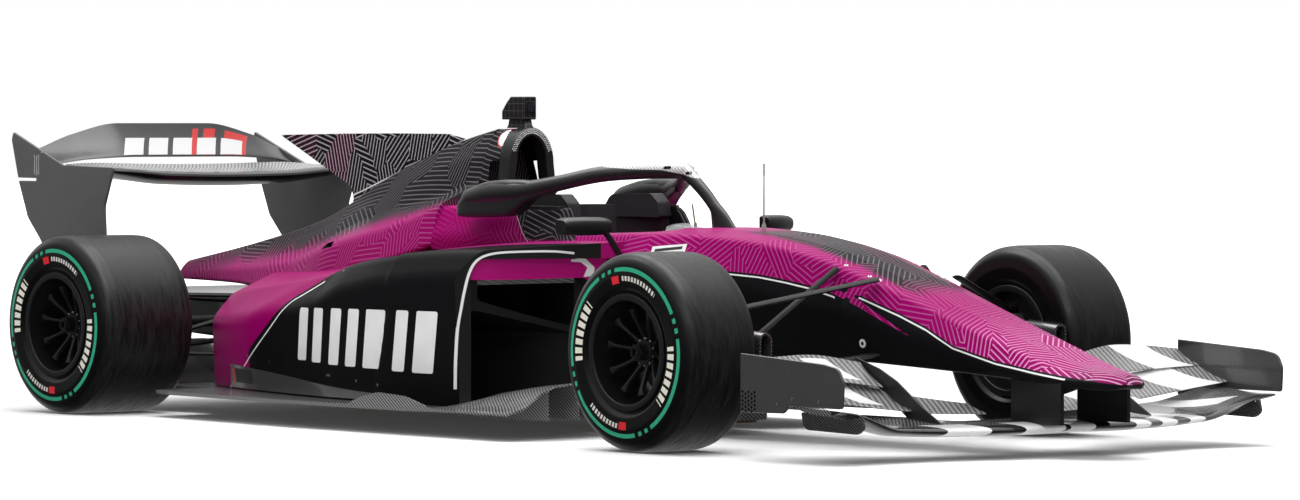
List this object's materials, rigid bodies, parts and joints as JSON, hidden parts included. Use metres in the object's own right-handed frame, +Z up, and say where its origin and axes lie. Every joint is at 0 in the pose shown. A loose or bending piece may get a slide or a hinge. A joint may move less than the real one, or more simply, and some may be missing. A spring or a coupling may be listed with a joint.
{
  "type": "open wheel racing car",
  "caption": "Open wheel single-seater racing car with halo, slick tyres, finned engine cover, multi-element front wing and tall rear wing; wheels roll and steer.",
  "frame": {"origin": "on the ground at the middle of the car's length and width", "axes": "+X forward to the nose, +Y to the car's left, +Z up"},
  "size_m": [5.2418, 1.9094, 1.104],
  "materials": {
    "aluminium": "satin",
    "carbon": "satin twill",
    "lamp": "gloss",
    "mirror": "polished",
    "padding": "matte",
    "painted_shell": "gloss",
    "rim": "satin",
    "steel": "brushed",
    "titanium": "satin",
    "tyre": "matte",
    "wood": "matte"
  },
  "bodies": {
    "chassis": {"monocoque": "painted_shell", "nose_cone": "painted_shell", "engine": "aluminium", "gearbox": "carbon", "rear_crash_structure": "carbon", "engine_cover": "painted_shell", "roll_hoop": "carbon", "halo": "titanium", "headrest_collar": "padding", "seat": "padding", "steering_column": "steel", "floor": "carbon", "skid_plank": "wood", "diffuser": "carbon", "shark_fin": "painted_shell", "onboard_camera": "carbon", "antenna": "steel", "rain_light": "lamp", "front_wing_main_plane": "carbon", "front_wing_flaps": "carbon", "front_wing_pylons": "carbon", "front_wing_endplates": "painted_shell", "front_wing_strakes": "carbon", "front_wing_brackets": "carbon", "rear_wing_main_plane": "carbon", "rear_wing_flap": "painted_shell", "rear_wing_endplates": "painted_shell", "rear_beam_wing": "carbon", "mirrors": "painted_shell", "mirror_glasses": "mirror", "rear_suspension": "carbon", "rear_uprights": "aluminium", "front_wishbones": "carbon", "sidepod_right": "painted_shell", "sidepod_left": "painted_shell"},
    "steering_wheel": {"steering_wheel": "carbon"},
    "front_knuckle_right": {"front_upright_right": "aluminium", "front_brake_duct_right": "carbon"},
    "front_wheel_right": {"front_rim_right": "rim", "front_tyre_right": "tyre"},
    "rear_wheel_right": {"rear_rim_right": "rim", "rear_tyre_right": "tyre"},
    "front_knuckle_left": {"front_upright_left": "aluminium", "front_brake_duct_left": "carbon"},
    "front_wheel_left": {"front_rim_left": "rim", "front_tyre_left": "tyre"},
    "rear_wheel_left": {"rear_rim_left": "rim", "rear_tyre_left": "tyre"}
  },
  "joints": [
    {"name": "steer_right", "type": "hinge", "parent": "chassis", "child": "front_knuckle_right", "pos_m": [1.3495, -0.69, 0.31], "axis": [0, 0, 1], "range_deg": [-18, 18]},
    {"name": "steer_left", "type": "hinge", "parent": "chassis", "child": "front_knuckle_left", "pos_m": [1.3495, 0.69, 0.31], "axis": [0, 0, 1], "range_deg": [-18, 18]},
    {"name": "front_wheel_spin_right", "type": "hinge", "parent": "front_knuckle_right", "child": "front_wheel_right", "pos_m": [1.3495, -0.805, 0.31], "axis": [0, 1, 0], "continuous": true},
    {"name": "front_wheel_spin_left", "type": "hinge", "parent": "front_knuckle_left", "child": "front_wheel_left", "pos_m": [1.3495, 0.805, 0.31], "axis": [0, 1, 0], "continuous": true},
    {"name": "rear_wheel_spin_right", "type": "hinge", "parent": "chassis", "child": "rear_wheel_right", "pos_m": [-1.7655, -0.755, 0.31], "axis": [0, 1, 0], "continuous": true},
    {"name": "rear_wheel_spin_left", "type": "hinge", "parent": "chassis", "child": "rear_wheel_left", "pos_m": [-1.7655, 0.755, 0.31], "axis": [0, 1, 0], "continuous": true},
    {"name": "steering_wheel_turn", "type": "hinge", "parent": "chassis", "child": "steering_wheel", "pos_m": [0.5145, 0, 0.59], "axis": [-0.9703, 0, 0.2419], "range_deg": [-180, 180]}
  ],
  "couplings": [
    {"joint": "steer_left", "follows": "steer_right", "ratio": 1},
    {"joint": "steering_wheel_turn", "follows": "steer_right", "ratio": 10}
  ]
}
